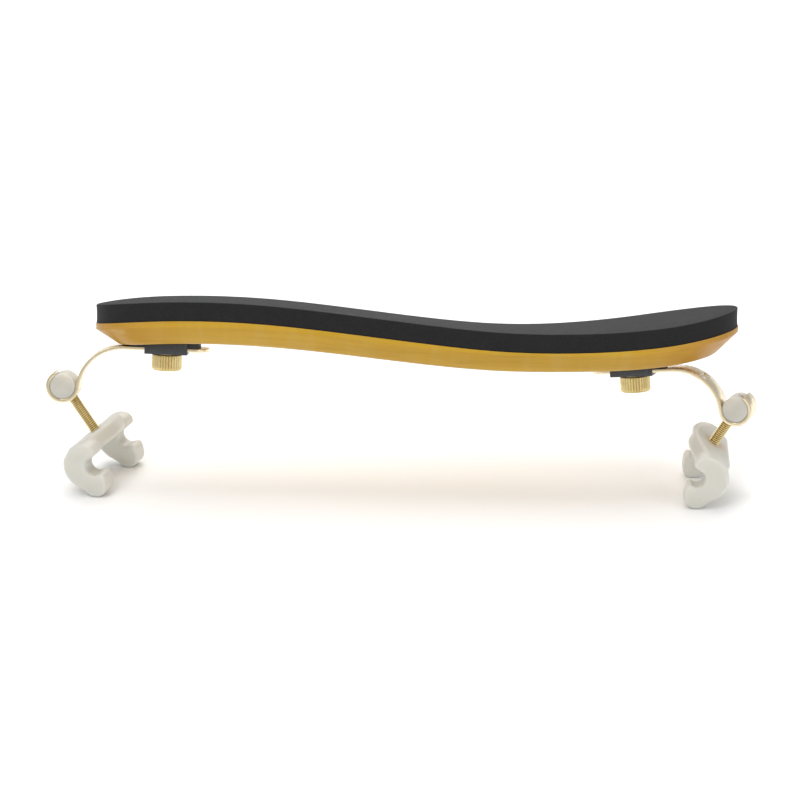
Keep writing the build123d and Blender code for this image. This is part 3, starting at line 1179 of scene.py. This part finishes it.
@dataclass(frozen=True)
class Studio:
    """Plain pale floor, soft lights, even surroundings, and the camera.

    Attributes:
        aim: the level-frame point the camera looks at.
        distance: how far off it stands.
        elevation_deg: its height above the level bar's own plane.
        lens: focal length for a 36 mm sensor.
        floor_half: half the floor's width.
        floor_tone: the floor's colour.
        sky: strength of the light from all round.
        lights: the softboxes.
    """

    aim: tuple[float, float, float] = (-0.00612, 0.0, 0.0)
    distance: float = 0.893
    elevation_deg: float = 8.0
    lens: float = 111.6
    floor_half: float = 6.0
    floor_tone: tuple[float, float, float, float] = (0.96, 0.96, 0.96, 1.0)
    sky: float = 0.5
    lights: tuple[Softbox, ...] = (
        Softbox("key", (-0.45, -0.75, 0.95), (0.0, 0.0, 0.05), 0.7, 5.4),
        Softbox("fill", (0.8, -0.7, 0.5), (0.0, 0.0, 0.05), 0.8, 2.2),
        Softbox("top", (0.0, 0.35, 1.1), (0.0, 0.0, 0.05), 0.9, 7.0),
        Softbox("backdrop", (0.0, 1.4, 0.9), (0.0, 1.2, 0.0), 1.1, 9.0),
    )

    def floor(self) -> None:
        """Lay the floor."""
        mesh = bpy.data.meshes.new("floor")
        half = self.floor_half
        corners = [(-half, -half, 0.0), (half, -half, 0.0), (half, half, 0.0), (-half, half, 0.0)]
        mesh.from_pydata(corners, [], [[0, 1, 2, 3]])
        floor = bpy.data.objects.new("floor", mesh)
        bpy.context.scene.collection.objects.link(floor)
        material = bpy.data.materials.new("floor")
        material.use_nodes = True
        shader = material.node_tree.nodes["Principled BSDF"]
        shader.inputs["Base Color"].default_value = self.floor_tone
        shader.inputs["Roughness"].default_value = 0.9
        mesh.materials.append(material)

    def surroundings(self) -> None:
        """Even pale light from all round."""
        world = bpy.data.worlds.new("surroundings")
        world.use_nodes = True
        world.node_tree.nodes["Background"].inputs["Color"].default_value = (1.0, 1.0, 1.0, 1.0)
        world.node_tree.nodes["Background"].inputs["Strength"].default_value = self.sky
        bpy.context.scene.world = world

    def camera(self) -> None:
        """Set the camera in the level frame, then carry it with the stance."""
        rise = math.radians(self.elevation_deg)
        back = Vector((0.0, -math.cos(rise), math.sin(rise)))
        place = Vector(self.aim) + back * self.distance
        turn = STANCE.rotation() @ back.to_track_quat("Z", "Y").to_matrix()
        data = bpy.data.cameras.new("camera")
        data.lens, data.sensor_width = self.lens, 36.0
        data.clip_start, data.clip_end = 0.01, 50.0
        camera = bpy.data.objects.new("camera", data)
        spot = STANCE.carry(np.array([place]))[0]
        camera.matrix_world = Matrix.Translation(Vector(spot)) @ turn.to_4x4()
        bpy.context.scene.collection.objects.link(camera)
        bpy.context.scene.camera = camera

    def build(self) -> None:
        """Set the camera, the floor and the lights."""
        self.camera()
        self.floor()
        self.surroundings()
        for light in self.lights:
            light.build()
        view = bpy.context.scene.view_settings
        view.view_transform, view.look, view.exposure = "Standard", "None", 0.0


def make_finishes(effects: Effects, end: End) -> dict[Slot, bpy.types.Material]:
    """The finishes of one bracket.

    Args:
        effects: the shared shader groups.
        end: which bracket.

    Returns:
        Slot to material.
    """
    foot = joint_axis(end.name_of("foot_turn"))
    roller = joint_axis(end.name_of("roller_tilt"))
    shared = {
        Slot.LINER: BlackMoulding("black_liner", (0.02, 0.021, 0.023, 1.0), 0.7),
        Slot.GUIDE_BLOCK: BlackMoulding("black_guide_block", (0.034, 0.038, 0.042, 1.0), 0.45),
        Slot.STRAP: Brass(
            "strap_brass", (0.86, 0.74, 0.50, 1.0), (0.58, 0.44, 0.22, 1.0), 0.2, (300.0, 2600.0, 300.0), 0.25
        ),
        Slot.KNOB: Brass(
            "knob_brass", (0.76, 0.62, 0.30, 1.0), (0.45, 0.31, 0.11, 1.0), 0.26, (900.0, 900.0, 2600.0), 0.4
        ),
        Slot.STUD: Brass(
            "stud_brass", (0.90, 0.76, 0.42, 1.0), (0.50, 0.34, 0.13, 1.0), 0.28, (900.0, 900.0, 900.0), 0.2,
            # The thread's axis and radii place the painted shade in the thread's roots.
            (tuple(foot.origin), tuple(foot.along), 0.00156, 0.00176),
        ),
        # The foot and the barrel get a painted glow of the brass round the stud's and the roller's joint
        # points.
        Slot.FOOT: MilkyPlastic(end.name_of("milky_foot"), painted_glow_at=tuple(foot.origin), painted_glow_reach=0.0065),
        Slot.BARREL: MilkyPlastic(
            end.name_of("milky_barrel"),
            body=(0.69, 0.66, 0.58, 1.0),
            painted_glow_at=tuple(roller.origin),
            painted_glow_reach=0.005,
        ),
    }
    return {slot: finish.build(effects) for slot, finish in shared.items()}


def main() -> None:
    """Build the looks round the fixed solids."""
    Studio().build()
    effects = Effects()
    maple = VarnishedMaple().build(effects)
    insert = Brass("insert_brass", (0.74, 0.58, 0.28, 1.0)).build(effects)
    Bar(maple, insert).dress()
    FoamPad(ClosedCellFoam().build(effects)).build()
    for end in End:
        bracket = Bracket(end, make_finishes(effects, end))
        bracket.build()
        bracket.dress()


if __name__ == "__main__":
    main()
